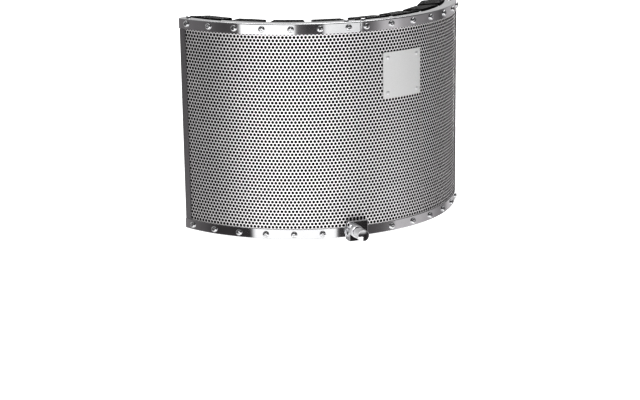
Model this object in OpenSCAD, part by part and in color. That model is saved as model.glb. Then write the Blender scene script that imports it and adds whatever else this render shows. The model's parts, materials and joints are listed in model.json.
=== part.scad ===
// Microphone isolation shield: a curved perforated screen with an absorber sandwich and foam
// ridges, carried by a thumbscrew bracket, a sliding rail and a screw clamp for a stand tube.
// Millimetres. +Z is up, -Y points out of the screen's convex side, +X is right seen from outside.
// The origin lies on the stand tube's axis, halfway up the clamp's jaws.

/* [Screen] */
// Radius of the perforated sheet's outer face
screen_r = 221; // [190:1:280]
// Half of the angle that the screen spans
screen_half_angle = 65.6; // [50:0.1:75]
// Height over both rims
screen_h = 290; // [220:1:400]
// Distance from the stand tube's axis to the outer face
stand_reach = 136; // [128:1:170]
// Distance of the screen's middle from the rail, to the right
screen_shift = 9.3; // [6:0.1:11]
// Height of the lower rim's underside above the middle of the clamp
rim_above_clamp = 12; // [10:1:14]
// Thickness of the perforated sheet
sheet_t = 1; // [0.8:0.1:1.5]
// Thickness of the black felt behind the holes
felt_t = 2; // [1:0.5:3]
// Thickness of the absorber core
core_t = 10; // [9:0.5:16]
// Thickness of the sheet that backs the foam
back_t = 1; // [0.8:0.1:1.5]
// Slack between neighbouring layers
layer_gap = 0.25; // [0.2:0.05:0.5]

/* [Perforation] */
// Distance between hole centres, drawn four times as coarse as the real sheet's
hole_pitch = 20; // [18:1:30]
// Diameter of the holes, drawn four times as coarse as the real sheet's
hole_d = 12; // [8:0.5:14]
// Solid margin between the holes and the trim
hole_margin = 2; // [1:0.5:6]

/* [Rims] */
// Height of the rim's band
rim_w = 14; // [12:0.5:18]
// Thickness of the rim's metal
rim_t = 1.2; // [1:0.1:2]
// Outer radius of the rim's bend
rim_bend = 1.4; // [1.2:0.1:2.4]
// Length of a rim past the end of the sandwich
rim_overhang = 1.5; // [0:0.1:3]
// Gap between the two halves of a rim
rim_joint = 0.4; // [0.2:0.1:1]
// Arc length from the screen's middle to that gap
rim_joint_arc = 4; // [0:0.5:5]
// Arc length from the screen's middle to the first band screw
screw_first = 12.4; // [10:0.1:16]
// Arc length between band screws
screw_pitch = 37.9; // [30:0.1:39]
// Diameter of a band screw's head
screw_head_d = 8.5; // [7:0.1:10]
// Height of a band screw's head
screw_head_h = 2.6; // [2:0.1:3.5]
// Diameter of a band screw's shank
screw_d = 4; // [3:0.5:5]
// Width across the flats of a band screw's nut
nut_af = 7; // [6:0.5:8]
// Thickness of a band screw's nut
nut_t = 3.2; // [2.4:0.1:4]
// Diameter of a flange screw's head
flange_head_d = 7; // [6:0.1:8]
// Height of a flange screw's head
flange_head_h = 2.1; // [1.6:0.1:2.6]
// Diameter of a flange screw's shank
flange_screw_d = 3.5; // [3:0.1:4]
// Half of a splice plate's length along the arc
splice_half = 26; // [20:1:32]

/* [End posts] */
// Width of a post's outer flange
post_w = 9.6; // [8:0.1:18]
// Distance of the corner screws from the end of the sandwich
corner_inset = 6.6; // [6:0.1:12]
// Thickness of a post's metal
post_t = 1.2; // [1:0.1:2]

/* [Foam] */
// Depth of a ridge
foam_depth = 34; // [20:1:45]
// Gap between two ridges at their base
foam_base_gap = 6; // [4:0.5:10]
// Gap between two ridges at their tips
foam_tip_gap = 10; // [6:0.5:16]
// Distance of the ridges' upper ends below the rim
foam_top_gap = 2; // [2:0.5:10]
// Distance of the ridges' lower ends above the rim
foam_bottom_gap = 25; // [25:1:40]

/* [Badge plate] */
// Width of the plate along the arc
badge_w = 65; // [40:1:80]
// Height of the plate
badge_h = 62.5; // [40:0.5:80]
// Thickness of the plate
badge_t = 1; // [0.8:0.1:2]
// Arc length from the screen's middle to the plate's middle
badge_arc = 69.5; // [60:0.5:120]
// Distance from the upper rim's edge to the plate's middle
badge_drop = 75.5; // [60:0.5:120]
// Distance of the rivets from the plate's sides
rivet_inset = 7.5; // [6:0.5:12]
// Diameter of a rivet's head
rivet_head_d = 5; // [4.5:0.1:6]
// Height of a rivet's head
rivet_head_h = 1.2; // [0.8:0.1:1.6]
// Diameter of a rivet's shank
rivet_d = 3; // [2.5:0.1:3.5]

/* [Bracket] */
// Width of the block to the left of the thumbscrew
bracket_left = 8.6; // [8:0.1:14]
// Width of the block to the right of the thumbscrew
bracket_right = 18.2; // [10:0.1:24]
// Distance of the block's front from the screen's outer face
bracket_proud = 11; // [9:0.5:16]
// Height of the block above the rim's underside
bracket_above = 24.5; // [19:0.5:28]
// Thickness of the lip under the rim
bracket_lip = 3.5; // [3:0.5:5]
// Depth of the lip under the rim
lip_depth = 4; // [3:0.5:4.5]
// Radius of the block's upright edges
bracket_edge_r = 1.2; // [0.8:0.1:2]
// Diameter of the thumbscrew's shaft
thumb_d = 6; // [5:0.5:6]
// Height of the thumbscrew above the rim's underside
thumb_z = 11.5; // [10:0.5:12]
// Diameter of the collar behind the thumbscrew's head
collar_d = 17; // [14:0.5:20]
// Length of the collar
collar_len = 9; // [6:0.5:12]
// Diameter of the thumbscrew's neck
neck_d = 11; // [9:0.5:13]
// Length of the thumbscrew's neck
neck_len = 4.5; // [3:0.5:6]
// Diameter of the thumbscrew's head
head_d = 16; // [14:0.5:22]
// Length of the thumbscrew's head
head_len = 15.5; // [12:0.5:20]
// Chamfer on the turned edges
turned_edge = 0.8; // [0.4:0.1:1.2]
// Diameter of the side screw's head
side_head_d = 11; // [8:0.5:13]
// Height of the side screw's head
side_head_h = 3; // [2:0.5:4]
// Diameter of the side screw's shank
side_screw_d = 6; // [4:0.5:6]
// Length of the side screw's shank
side_screw_len = 4; // [3:0.5:4.5]
// Width across the flats of the side screw's socket
side_socket_af = 5; // [3:0.5:6]

/* [Rail] */
// Width of the rail
rail_w = 20; // [16:0.5:24]
// Thickness of the rail and of its foot
rail_t = 6; // [5:0.5:8]
// Height of the foot above the rim's underside
foot_above = 18; // [16:0.5:22]
// Size of the gusset behind the foot
gusset = 10; // [6:1:12]
// Thickness of the gusset
gusset_t = 6; // [4:0.5:8]
// Travel of the screen towards the stand
travel_in = 12; // [0:1:20]
// Travel of the screen away from the stand
travel_out = 30; // [10:1:35]
// Metal left between the slot and the rail's end
rail_end_web = 6.5; // [5:0.5:10]

/* [Stand clamp] */
// Diameter of the stand tube
tube_d = 16; // [12:0.5:20]
// Height of the clamp's jaws
clamp_h = 36; // [30:1:40]
// Thickness of the rubber pads
pad_t = 1.5; // [1:0.1:2.5]
// Half of the angle that a pad covers
pad_half_angle = 65; // [60:1:66]
// Thickness of the wall in front of the tube, measured from the tube's axis
front_wall = 21; // [18:1:26]
// Thickness of the side and rear walls
clamp_wall = 12; // [10:0.5:16]
// Distance from the tube's axis to the side wall
side_wall_x = 14; // [13.5:0.5:18]
// Travel of the jaw
jaw_travel = 14; // [8:1:20]
// Depth of the jaw, measured from the tube's axis
jaw_depth = 20; // [17:1:26]
// Height of the jaw's guide tongue
tongue_h = 8; // [6:0.5:12]
// Depth of the jaw's guide tongue
tongue_depth = 4.5; // [3:0.5:6]
// Diameter of the clamp screw
clamp_screw_d = 12; // [8:0.5:14]
// Diameter of the clamp screw's tip
clamp_tip_d = 8; // [5:0.5:8]
// Diameter of the clamp screw's knob
clamp_knob_d = 36; // [28:1:44]
// Length of the clamp screw's knob
clamp_knob_len = 22; // [16:1:28]
// Radius of the clamp's rounded corners
clamp_corner = 4; // [2:0.5:6]

/* [Rail lock] */
// Thickness of the floor under the rail
floor_t = 7.7; // [7:0.1:10]
// Width of the cheeks beside the rail
cheek_w = 4.7; // [3:0.1:8]
// Diameter of the lock bolt
bolt_d = 8; // [6:0.5:8]
// Diameter of the lock bolt's head
bolt_head_d = 16; // [12:0.5:18]
// Height of the lock bolt's head
bolt_head_h = 4; // [3:0.5:4.5]
// Thickness of the lock washer
washer_t = 2; // [1.5:0.5:3]
// Diameter of the lock knob
lock_knob_d = 26; // [22:1:30]
// Height of the lock knob
lock_knob_h = 14.5; // [12:0.5:16]
// Number of lobes on the two knobs
knob_lobes = 6; // [5:1:9]

/* [Hidden] */
$fn = 96;
// Clearances: a turning or sliding shaft, a bolt through a plate, a slide, two faces at rest
running = 0.05;
through = 0.3;
slide = 0.3;
seat = 0.05;
// Overlap that makes a cut pass right through
cut = 1;

// Radii of the sandwich, from the outside in
r_rim_in = screen_r + layer_gap;
r_rim_out = r_rim_in + rim_t;
r_felt = screen_r - sheet_t - layer_gap;
r_core = r_felt - felt_t - layer_gap;
r_back = r_core - core_t - layer_gap;
r_inner = r_back - back_t;
r_foam = r_inner - layer_gap;
r_tip = r_foam - foam_depth;
// One foam ridge per node of that name
foam_count = 8;
screen_y = screen_r - stand_reach;

// Heights of the rims and of what lies between their flanges
z_low = rim_above_clamp;
z_high = z_low + screen_h;
z_layers_low = z_low + rim_t + post_t + layer_gap;
z_layers_high = z_high - rim_t - post_t - layer_gap;

// Angles along the screen, and the screws on its rims
deg_per_mm = 180 / PI / screen_r;
half_arc = screen_half_angle / deg_per_mm;
web_angle = post_t * deg_per_mm;
layer_angle = screen_half_angle - web_angle - layer_gap * deg_per_mm;
post_angle = post_w * deg_per_mm;
tab_angle = (corner_inset + flange_head_d / 2 + 1) * deg_per_mm;
rim_angle = screen_half_angle + rim_overhang * deg_per_mm;
bend_r = max(rim_bend, rim_t + 0.2);
screws_per_half = floor((half_arc - screw_first - screw_head_d) / screw_pitch) + 1;
screw_z = rim_w / 2;
flange_screw_r = (r_inner + screen_r) / 2 - 1.5;
corner_screw_arc = half_arc - corner_inset;
flange_screw_len = rim_t + post_t + 3;
nut_pocket_d = nut_af / cos(30) + 2 * through;
shank_end = r_felt - nut_t - 2;

// The perforation's grid between the rims and the posts
row_pitch = hole_pitch * sqrt(3) / 2;
hole_span_z = screen_h - 2 * (rim_w + hole_margin) - hole_d;
hole_rows = floor(hole_span_z / row_pitch) + 1;
hole_row_low = z_low + screen_h / 2 - (hole_rows - 1) * row_pitch / 2;
hole_reach = half_arc - post_w - hole_margin - hole_d / 2;

// The bracket's front, the thumbscrew and the rail
block_front = -stand_reach - bracket_proud;
thumb_height = z_low + thumb_z;
rail_low = z_low - bracket_lip;
rail_high = rail_low + rail_t;
foot_front = screen_y - sqrt(pow(r_inner, 2) - pow(screen_shift, 2));
foot_back = foot_front + rail_t;
slot_w = bolt_d + 2 * slide + 0.2;
rail_back = -front_wall - 1 - travel_in;
bolt_y = rail_back - rail_end_web - slot_w / 2 - travel_out;
slot_front = bolt_y - travel_in;
slot_back = bolt_y + travel_out;

// The stand clamp
tube_r = tube_d / 2;
seat_r = tube_r + pad_t;
jaw_gap = seat_r * cos(pad_half_angle);
rear_wall_y = jaw_depth + jaw_travel + 4;
floor_top = rail_low - slide;
floor_low = floor_top - floor_t;
carriage_front = bolt_y - 11;
cheek_x = rail_w / 2 + slide;
tip_len = 8;
knob_y = rear_wall_y + clamp_wall + jaw_travel;
lock_z = rail_high + seat;
knob_z = lock_z + washer_t + seat;

// Points of an arc, for profiles
function arc(x, y, r, a0, a1, steps = 5) =
    [for (i = [0 : steps]) let (a = a0 + (a1 - a0) * i / steps) [x + r * cos(a), y + r * sin(a)]];

// Corners of a rectangle with rounded corners
function rounded(x0, x1, y0, y1, r) = concat(
    arc(x1 - r, y1 - r, r, 0, 90), arc(x0 + r, y1 - r, r, 90, 180),
    arc(x0 + r, y0 + r, r, 180, 270), arc(x1 - r, y0 + r, r, 270, 360));

// Outline of a turned piece with chamfered ends: radius, start and end along its axis
function turned(r, h0, h1, c) =
    [[0, h0], [r - c, h0], [r, h0 + c], [r, h1 - c], [r - c, h1], [0, h1]];

// Section of a rim: radius, then distance from the rim's outer edge
function rim_section() = concat(
    [[r_rim_out, rim_w]],
    arc(r_rim_out - bend_r, bend_r, bend_r, 0, -90),
    [[r_inner, 0], [r_inner, rim_t]],
    arc(r_rim_out - bend_r, bend_r, bend_r - rim_t, -90, 0),
    [[r_rim_in, rim_w]]);

// Arc lengths of the band screws on one half of a rim
function band_arcs(side, skip) =
    [for (i = [skip : screws_per_half - 1]) side * (screw_first + i * screw_pitch)];

// The rim halves: side, upper or lower, and the band screws that the bracket replaces
rim_halves = [[-1, true, 0], [1, true, 0], [-1, false, 1], [1, false, 1]];

module screen_axis() translate([screen_shift, screen_y, 0]) children();

// A part of a ring round the screen's axis, between two angles from the outward direction
module ring_part(a0, a1) screen_axis() rotate([0, 0, a0 - 90]) rotate_extrude(angle = a1 - a0) children();

module layer(r_out, t, z0, z1, a0, a1)
    ring_part(a0, a1) translate([r_out - t, z0]) square([t, z1 - z0]);

// Puts a piece on the screen, its own +Z pointing outwards
module on_screen(along, z, r)
    screen_axis() rotate([0, 0, along * deg_per_mm - 90]) translate([r, 0, z]) rotate([0, 90, 0]) children();

// Puts a piece on a rim's flange, its own +Z pointing away from the screen
module on_flange(along, upper)
    screen_axis() rotate([0, 0, along * deg_per_mm - 90]) translate([flange_screw_r, 0, upper ? z_high : z_low])
        mirror([0, 0, upper ? 0 : 1]) children();

module at_band_screws(r)
    for (half = rim_halves)
        for (along = band_arcs(half[0], half[2]))
            on_screen(along, half[1] ? z_high - screw_z : z_low + screw_z, r) children();

module at_flange_screws()
    for (side = [-1, 1], upper = [true, false], along = [screw_first, corner_screw_arc])
        on_flange(side * along, upper) children();

module at_rivets(r)
    for (side = [-1, 1], level = [-1, 1])
        on_screen(badge_arc + side * (badge_w / 2 - rivet_inset),
                  z_high - badge_drop + level * (badge_h / 2 - rivet_inset), r) children();

// A bar along the thumbscrew's axis, between two places on Y
module along_thumb(y0, y1, r) translate([0, y1, thumb_height]) rotate([90, 0, 0]) cylinder(h = y1 - y0, r = r);

module thumb_hole() along_thumb(block_front - cut, foot_back + cut, thumb_d / 2 + through + 0.2);

// Pockets for the band screws' nuts and holes for the flange screws
module fastener_pockets() {
    at_band_screws(shank_end - cut) cylinder(h = screen_r - shank_end + cut, d = nut_pocket_d);
    at_flange_screws() translate([0, 0, -flange_screw_len - cut])
        cylinder(h = flange_screw_len + cut, d = flange_screw_d + 2 * through);
    thumb_hole();
}

module outer_sheet() color("gainsboro") difference() {
    layer(screen_r, sheet_t, z_low + rim_t + layer_gap, z_high - rim_t - layer_gap, -layer_angle, layer_angle);
    for (row = [0 : hole_rows - 1]) {
        stagger = (row % 2) / 2;
        columns = floor(hole_reach / hole_pitch - stagger);
        for (column = [-columns - 2 * stagger : columns])
            on_screen((column + stagger) * hole_pitch, hole_row_low + row * row_pitch, r_felt)
                cylinder(h = sheet_t + 2 * cut, d = hole_d);
    }
    at_band_screws(r_felt) cylinder(h = sheet_t + 2 * cut, d = screw_d + 2 * through);
    at_rivets(r_felt) cylinder(h = sheet_t + 2 * cut, d = rivet_d + 2 * running);
    thumb_hole();
}

module felt_layer() color("#151515") difference() {
    layer(r_felt, felt_t, z_layers_low, z_layers_high, -layer_angle, layer_angle);
    fastener_pockets();
    at_rivets(r_core) cylinder(h = screen_r - r_core, d = rivet_head_d);
}

module absorber_core() color("dimgray") difference() {
    layer(r_core, core_t, z_layers_low, z_layers_high, -layer_angle, layer_angle);
    fastener_pockets();
}

module backing_sheet() color("silver") difference() {
    layer(r_back, back_t, z_layers_low, z_layers_high, -layer_angle, layer_angle);
    thumb_hole();
}

module foam_ridge(number) {
    step = 2 * screen_half_angle / foam_count;
    base_half = r_foam * step * PI / 360 - foam_base_gap / 2;
    tip_half = r_tip * step * PI / 360 - foam_tip_gap / 2;
    z0 = z_low + foam_bottom_gap;
    height = z_high - foam_top_gap - z0;
    color("#1a1718") screen_axis() rotate([0, 0, -screen_half_angle + (number - 0.5) * step])
        intersection() {
            translate([0, 0, z0]) linear_extrude(height)
                polygon([[-base_half, -r_foam], [base_half, -r_foam], [tip_half, -r_tip], [-tip_half, -r_tip]]);
            translate([0, 0, z0]) cylinder(h = height, r = r_foam);
        }
}

module rim_half(side, upper, skip) color("lightgray") difference() {
    translate([0, 0, upper ? z_high : z_low]) mirror([0, 0, upper ? 1 : 0])
        ring_part(side > 0 ? (rim_joint_arc + rim_joint / 2) * deg_per_mm : -rim_angle,
                  side > 0 ? rim_angle : (rim_joint_arc - rim_joint / 2) * deg_per_mm)
            polygon(rim_section());
    for (along = band_arcs(side, skip))
        on_screen(along, upper ? z_high - screw_z : z_low + screw_z, screen_r - cut)
            cylinder(h = rim_t + 2 * cut, d = screw_d + 2 * running);
    for (along = [screw_first, corner_screw_arc])
        on_flange(side * along, upper) translate([0, 0, -rim_t - cut])
            cylinder(h = rim_t + 2 * cut, d = flange_screw_d + 2 * running);
    if (!upper) thumb_notch();
}

// The thumbscrew's way through the lower band, open to the band's upper edge
module thumb_notch() {
    notch_r = thumb_d / 2 + through + 0.2;
    thumb_hole();
    translate([-notch_r, block_front, thumb_height])
        cube([2 * notch_r, foot_back - block_front, rim_w - thumb_z + cut]);
}

module splice(upper) color("gray") {
    plate_z = rim_t + post_t;
    difference() {
        layer(r_felt - 1, r_felt - r_back - 1, upper ? z_high - plate_z : z_low + rim_t,
              upper ? z_high - rim_t : z_low + plate_z, -splice_half * deg_per_mm, splice_half * deg_per_mm);
        for (side = [-1, 1]) on_flange(side * screw_first, upper) translate([0, 0, -plate_z - cut])
            cylinder(h = plate_z + cut, d = flange_screw_d + 2 * running);
    }
}

// An end post: web over the sandwich's end, flange on the outside and a tab under each rim
module end_post(side) color("#4a494b") difference() {
    union() {
        post_part(side, r_inner, r_rim_in, web_angle, z_low + rim_t, z_high - rim_t);
        post_part(side, r_rim_in - layer_gap / 2, r_rim_in + post_t, post_angle,
                  z_low + rim_w + layer_gap, z_high - rim_w - layer_gap);
        post_part(side, r_inner, r_felt - 1, tab_angle, z_high - rim_t - post_t, z_high - rim_t);
        post_part(side, r_inner, r_felt - 1, tab_angle, z_low + rim_t, z_low + rim_t + post_t);
    }
    for (upper = [true, false]) on_flange(side * corner_screw_arc, upper)
        translate([0, 0, -rim_t - post_t - cut])
            cylinder(h = post_t + 2 * cut, d = flange_screw_d + 2 * running);
}

module post_part(side, r0, r1, angle, z0, z1)
    layer(r1, r1 - r0, z0, z1, side > 0 ? screen_half_angle - angle : -screen_half_angle,
          side > 0 ? screen_half_angle : -screen_half_angle + angle);

// A pan head on a shank that reaches down to -len
module pan_screw(head_d, head_h, shank_d, len) {
    rotate_extrude() polygon([[0, 0], [head_d / 2, 0], [head_d / 2, head_h * 0.45],
                              [head_d * 0.4, head_h * 0.85], [head_d * 0.28, head_h], [0, head_h]]);
    translate([0, 0, -len]) cylinder(h = len, d = shank_d);
}

module band_screws() color("whitesmoke")
    at_band_screws(r_rim_out) pan_screw(screw_head_d, screw_head_h, screw_d, r_rim_out - shank_end);

module band_nuts() color("darkgray") at_band_screws(r_felt - nut_t) difference() {
    cylinder(h = nut_t, d = nut_af / cos(30), $fn = 6);
    translate([0, 0, -cut]) cylinder(h = nut_t + 2 * cut, d = screw_d + 2 * running);
}

module flange_screws() color("whitesmoke")
    at_flange_screws() pan_screw(flange_head_d, flange_head_h, flange_screw_d, flange_screw_len);

module badge_plate() color("lightgray") difference() {
    middle = badge_arc * deg_per_mm;
    half = badge_w / 2 * deg_per_mm;
    layer(r_rim_in + badge_t, badge_t, z_high - badge_drop - badge_h / 2, z_high - badge_drop + badge_h / 2,
          middle - half, middle + half);
    at_rivets(screen_r - cut) cylinder(h = badge_t + 3 * cut, d = rivet_d + 2 * running);
}

module badge_rivets() color("dimgray")
    at_rivets(r_rim_in + badge_t)
        pan_screw(rivet_head_d, rivet_head_h, rivet_d, r_rim_in + badge_t - screen_r + sheet_t + layer_gap);

module bracket_block() color("#3a383a") difference() {
    union() {
        translate([0, 0, rail_low]) linear_extrude(bracket_above + bracket_lip)
            polygon(rounded(-bracket_left, bracket_right, block_front, -stand_reach + lip_depth, bracket_edge_r));
    }
    translate([0, 0, z_low]) screen_axis() cylinder(h = bracket_above + cut, r = r_rim_out + layer_gap, $fn = 360);
    along_thumb(block_front - cut, -stand_reach + lip_depth + cut, thumb_d / 2 + through);
    at_side_screw() translate([0, 0, -side_screw_len - 0.5]) cylinder(h = side_screw_len + cut, d = side_screw_d);
}

// The side screw's seat on the block's left flank, its own +Z pointing out of the flank
module at_side_screw()
    translate([-bracket_left, -stand_reach - rim_t - side_head_d / 2, z_low + thumb_z - 2.5])
        rotate([0, -90, 0]) children();

module side_screw() color("whitesmoke") at_side_screw() difference() {
    union() {
        rotate_extrude() polygon(turned(side_head_d / 2, 0, side_head_h, turned_edge));
        translate([0, 0, -side_screw_len]) cylinder(h = side_screw_len, d = side_screw_d);
    }
    translate([0, 0, side_head_h / 3]) cylinder(h = side_head_h, d = side_socket_af / cos(30), $fn = 6);
}

module thumb_collar() color("whitesmoke") translate([0, block_front - seat, thumb_height]) rotate([90, 0, 0])
    difference() {
        rotate_extrude() polygon(turned(collar_d / 2, 0, collar_len, turned_edge));
        translate([0, 0, -cut]) cylinder(h = collar_len + 2 * cut, d = thumb_d + 2 * running);
    }

module thumbscrew() color("whitesmoke") {
    neck_y = block_front - 2 * seat - collar_len;
    translate([0, neck_y, thumb_height]) rotate([90, 0, 0]) {
        cylinder(h = neck_len + cut, d = neck_d);
        translate([0, 0, neck_len]) rotate_extrude() polygon(turned(head_d / 2, 0, head_len, turned_edge));
    }
    along_thumb(neck_y - cut, foot_back + 2, thumb_d / 2);
}

// The rail: a slotted bar with an upright foot that takes the thumbscrew
module rail() color("#2c2b2d") difference() {
    union() {
        intersection() {
            translate([-rail_w / 2, foot_front - rail_t, rail_low]) cube([rail_w, 2 * rail_t, foot_above + bracket_lip]);
            translate([0, 0, rail_low]) screen_axis() cylinder(h = foot_above + bracket_lip, r = r_inner - layer_gap);
        }
        translate([-rail_w / 2, foot_back - rail_t / 2, rail_low]) cube([rail_w, rail_back - foot_back + rail_t / 2, rail_t]);
        translate([-gusset_t / 2, foot_back, rail_high]) rotate([90, 0, 90]) linear_extrude(gusset_t)
            polygon([[-cut, -cut], [gusset, -cut], [gusset, 0], [0, gusset], [-cut, gusset]]);
    }
    along_thumb(foot_front - cut, foot_back + gusset + cut, thumb_d / 2 + running);
    translate([0, 0, rail_low - cut]) {
        for (y = [slot_front, slot_back]) translate([0, y, 0]) cylinder(h = rail_t + 2 * cut, d = slot_w);
        translate([-slot_w / 2, slot_front, 0]) cube([slot_w, slot_back - slot_front, rail_t + 2 * cut]);
    }
}

// The clamp's frame: a C round the tube, and a floor with two cheeks that guide the rail
module clamp_frame() color("#2c2b2d") difference() {
    union() {
        clamp_wall_part(-side_wall_x - 2, side_wall_x + clamp_wall, -front_wall, -jaw_gap);
        clamp_wall_part(side_wall_x, side_wall_x + clamp_wall, -front_wall, rear_wall_y + clamp_wall);
        clamp_wall_part(-side_wall_x, side_wall_x + clamp_wall, rear_wall_y, rear_wall_y + clamp_wall);
        translate([0, 0, floor_low]) linear_extrude(rail_high - floor_low)
            polygon(rounded(-cheek_x - cheek_w, cheek_x + cheek_w, carriage_front, -front_wall + clamp_corner, 2));
    }
    translate([0, 0, -clamp_h]) cylinder(h = 2 * clamp_h, r = seat_r);
    translate([-cheek_x, carriage_front - cut, floor_top]) cube([2 * cheek_x, -front_wall - carriage_front + cut, clamp_h]);
    translate([side_wall_x - cut, jaw_gap - slide, -tongue_h / 2 - slide])
        cube([tongue_depth + slide + cut, rear_wall_y - jaw_gap + slide, tongue_h + 2 * slide]);
    translate([0, rear_wall_y - cut, 0]) rotate([-90, 0, 0])
        cylinder(h = clamp_wall + 2 * cut, d = clamp_screw_d + 2 * running);
    translate([0, bolt_y, floor_low - cut]) {
        cylinder(h = floor_t + 2 * cut, d = bolt_d + 2 * running);
        cylinder(h = bolt_head_h + cut + seat, d = bolt_head_d + 2 * through);
    }
}

module clamp_wall_part(x0, x1, y0, y1)
    translate([0, 0, -clamp_h / 2]) linear_extrude(clamp_h)
        polygon(rounded(x0, x1, y0, y1, min(clamp_corner, (y1 - y0) / 2 - 0.1)));

// A rubber pad in a jaw's round seat, centred on the given direction
module tube_pad(direction) color("#1c1c1e")
    rotate([0, 0, direction - pad_half_angle]) rotate_extrude(angle = 2 * pad_half_angle)
        translate([tube_r, -clamp_h / 2 + 2]) square([pad_t - seat, clamp_h - 4]);

module seat_pad() tube_pad(270);

module jaw_pad() tube_pad(90);

module clamp_jaw() color("#3a383a") difference() {
    union() {
        translate([0, 0, -clamp_h / 2 + 2]) linear_extrude(clamp_h - 4)
            polygon(rounded(-side_wall_x + slide, side_wall_x - slide, jaw_gap, jaw_depth, 2));
        translate([0, jaw_gap + slide, -tongue_h / 2])
            cube([side_wall_x + tongue_depth, jaw_depth - jaw_gap - 2 * slide, tongue_h]);
    }
    translate([0, 0, -clamp_h]) cylinder(h = 2 * clamp_h, r = seat_r);
    translate([0, jaw_depth - tip_len, 0]) rotate([-90, 0, 0]) cylinder(h = tip_len + cut, d = clamp_tip_d + 2 * running);
}

module clamp_screw() color("silver") rotate([-90, 0, 0]) {
    translate([0, 0, jaw_depth - tip_len + slide]) cylinder(h = tip_len + cut, d = clamp_tip_d);
    translate([0, 0, jaw_depth + slide]) cylinder(h = knob_y + clamp_knob_len / 2 - jaw_depth, d = clamp_screw_d);
}

// A knob with lobes, along +Z from 0, with a blind bore
module lobed_knob(d, h, bore, bore_len) difference() {
    rotate_extrude() polygon(turned(d / 2, 0, h, 1.5 * turned_edge));
    for (i = [0 : knob_lobes - 1]) rotate([0, 0, (i + 0.5) * 360 / knob_lobes])
        translate([d * 0.58, 0, h * 0.28]) cylinder(h = h, r = d * 0.16);
    translate([0, 0, -cut]) cylinder(h = bore_len + cut, d = bore);
}

module clamp_knob() color("#1c1c1e") translate([0, knob_y, 0]) rotate([-90, 0, 0])
    lobed_knob(clamp_knob_d, clamp_knob_len, clamp_screw_d + 2 * running, clamp_knob_len / 2 + 1);

module lock_bolt() color("silver") translate([0, bolt_y, floor_low + seat]) {
    cylinder(h = bolt_head_h, d = bolt_head_d);
    cylinder(h = knob_z + lock_knob_h * 0.7 - floor_low - seat, d = bolt_d);
}

module lock_washer() color("silver") translate([0, bolt_y, lock_z]) difference() {
    cylinder(h = washer_t, d = rail_w);
    translate([0, 0, -cut]) cylinder(h = washer_t + 2 * cut, d = bolt_d + 2 * running);
}

module lock_knob() color("#1c1c1e") translate([0, bolt_y, knob_z])
    lobed_knob(lock_knob_d, lock_knob_h, bolt_d + 2 * running, lock_knob_h * 0.85);

outer_sheet();
felt_layer();
absorber_core();
backing_sheet();
foam_ridge(1);  // foam_ridge_1
foam_ridge(2);  // foam_ridge_2
foam_ridge(3);  // foam_ridge_3
foam_ridge(4);  // foam_ridge_4
foam_ridge(5);  // foam_ridge_5
foam_ridge(6);  // foam_ridge_6
foam_ridge(7);  // foam_ridge_7
foam_ridge(8);  // foam_ridge_8
rim_half(-1, true, 0);  // top_rim_left
rim_half(1, true, 0);  // top_rim_right
rim_half(-1, false, 1);  // bottom_rim_left
rim_half(1, false, 1);  // bottom_rim_right
splice(true);  // top_splice
splice(false);  // bottom_splice
end_post(-1);  // end_post_left
end_post(1);  // end_post_right
band_screws();
band_nuts();
flange_screws();
badge_plate();
badge_rivets();
bracket_block();
side_screw();
thumb_collar();
thumbscrew();
rail();
clamp_frame();
seat_pad();
lock_bolt();
lock_washer();
lock_knob();
clamp_jaw();
jaw_pad();
clamp_screw();
clamp_knob();
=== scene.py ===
"""Microphone isolation shield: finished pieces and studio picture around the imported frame.

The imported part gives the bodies, the joints and every fit. This script makes the pieces that the
eye judges, such as the fine perforated sheet, the polished rims and the foam, and finishes the rest.
Lengths are in metres, +Z is up and -Y points out of the screen's convex side.
"""

import json
import logging
import math
from dataclasses import dataclass, field
from enum import Enum
from typing import Any, Callable, Optional, Sequence

import bmesh
import bpy
from mathutils import Euler, Matrix, Vector

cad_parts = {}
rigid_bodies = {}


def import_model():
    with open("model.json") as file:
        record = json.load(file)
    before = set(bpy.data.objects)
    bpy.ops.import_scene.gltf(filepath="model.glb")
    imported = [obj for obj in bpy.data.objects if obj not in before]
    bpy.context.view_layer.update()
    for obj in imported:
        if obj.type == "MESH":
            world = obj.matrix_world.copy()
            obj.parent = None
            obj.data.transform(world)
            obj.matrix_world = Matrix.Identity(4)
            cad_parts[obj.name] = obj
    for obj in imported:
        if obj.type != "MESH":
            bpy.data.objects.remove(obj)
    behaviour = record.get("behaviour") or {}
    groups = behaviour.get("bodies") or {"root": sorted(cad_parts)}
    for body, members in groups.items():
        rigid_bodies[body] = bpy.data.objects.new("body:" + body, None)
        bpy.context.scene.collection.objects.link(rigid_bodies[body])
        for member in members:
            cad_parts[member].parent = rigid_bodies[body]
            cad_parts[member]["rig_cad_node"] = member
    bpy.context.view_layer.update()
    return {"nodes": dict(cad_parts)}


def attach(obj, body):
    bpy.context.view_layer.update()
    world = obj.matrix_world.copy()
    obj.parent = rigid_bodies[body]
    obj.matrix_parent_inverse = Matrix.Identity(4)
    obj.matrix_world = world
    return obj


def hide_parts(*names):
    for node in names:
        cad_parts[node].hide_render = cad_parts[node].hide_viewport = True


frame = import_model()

LOG = logging.getLogger("shield")
MM = 0.001
# Two places closer than this, in metres, are the same
NEAR = 1e-6
PICTURE_WIDTH = 640
Piece = bpy.types.Object


class Element(Enum):
    """The kind of mesh element that a selection is made of."""

    VERT = "VERT"
    EDGE = "EDGE"
    FACE = "FACE"


class Grain(Enum):
    """How a surface was made, which sets the pattern that shows on it."""

    POLISHED = "polished"
    ROLLED = "rolled"
    SPRAYED = "sprayed"
    MOULDED = "moulded"
    CELLS = "cells"
    FIBRES = "fibres"


class Side(Enum):
    """The two halves of the screen, seen from outside."""

    LEFT = -1
    RIGHT = 1


class Level(Enum):
    """The screen's upper and lower edge."""

    TOP = "top"
    BOTTOM = "bottom"


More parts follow.
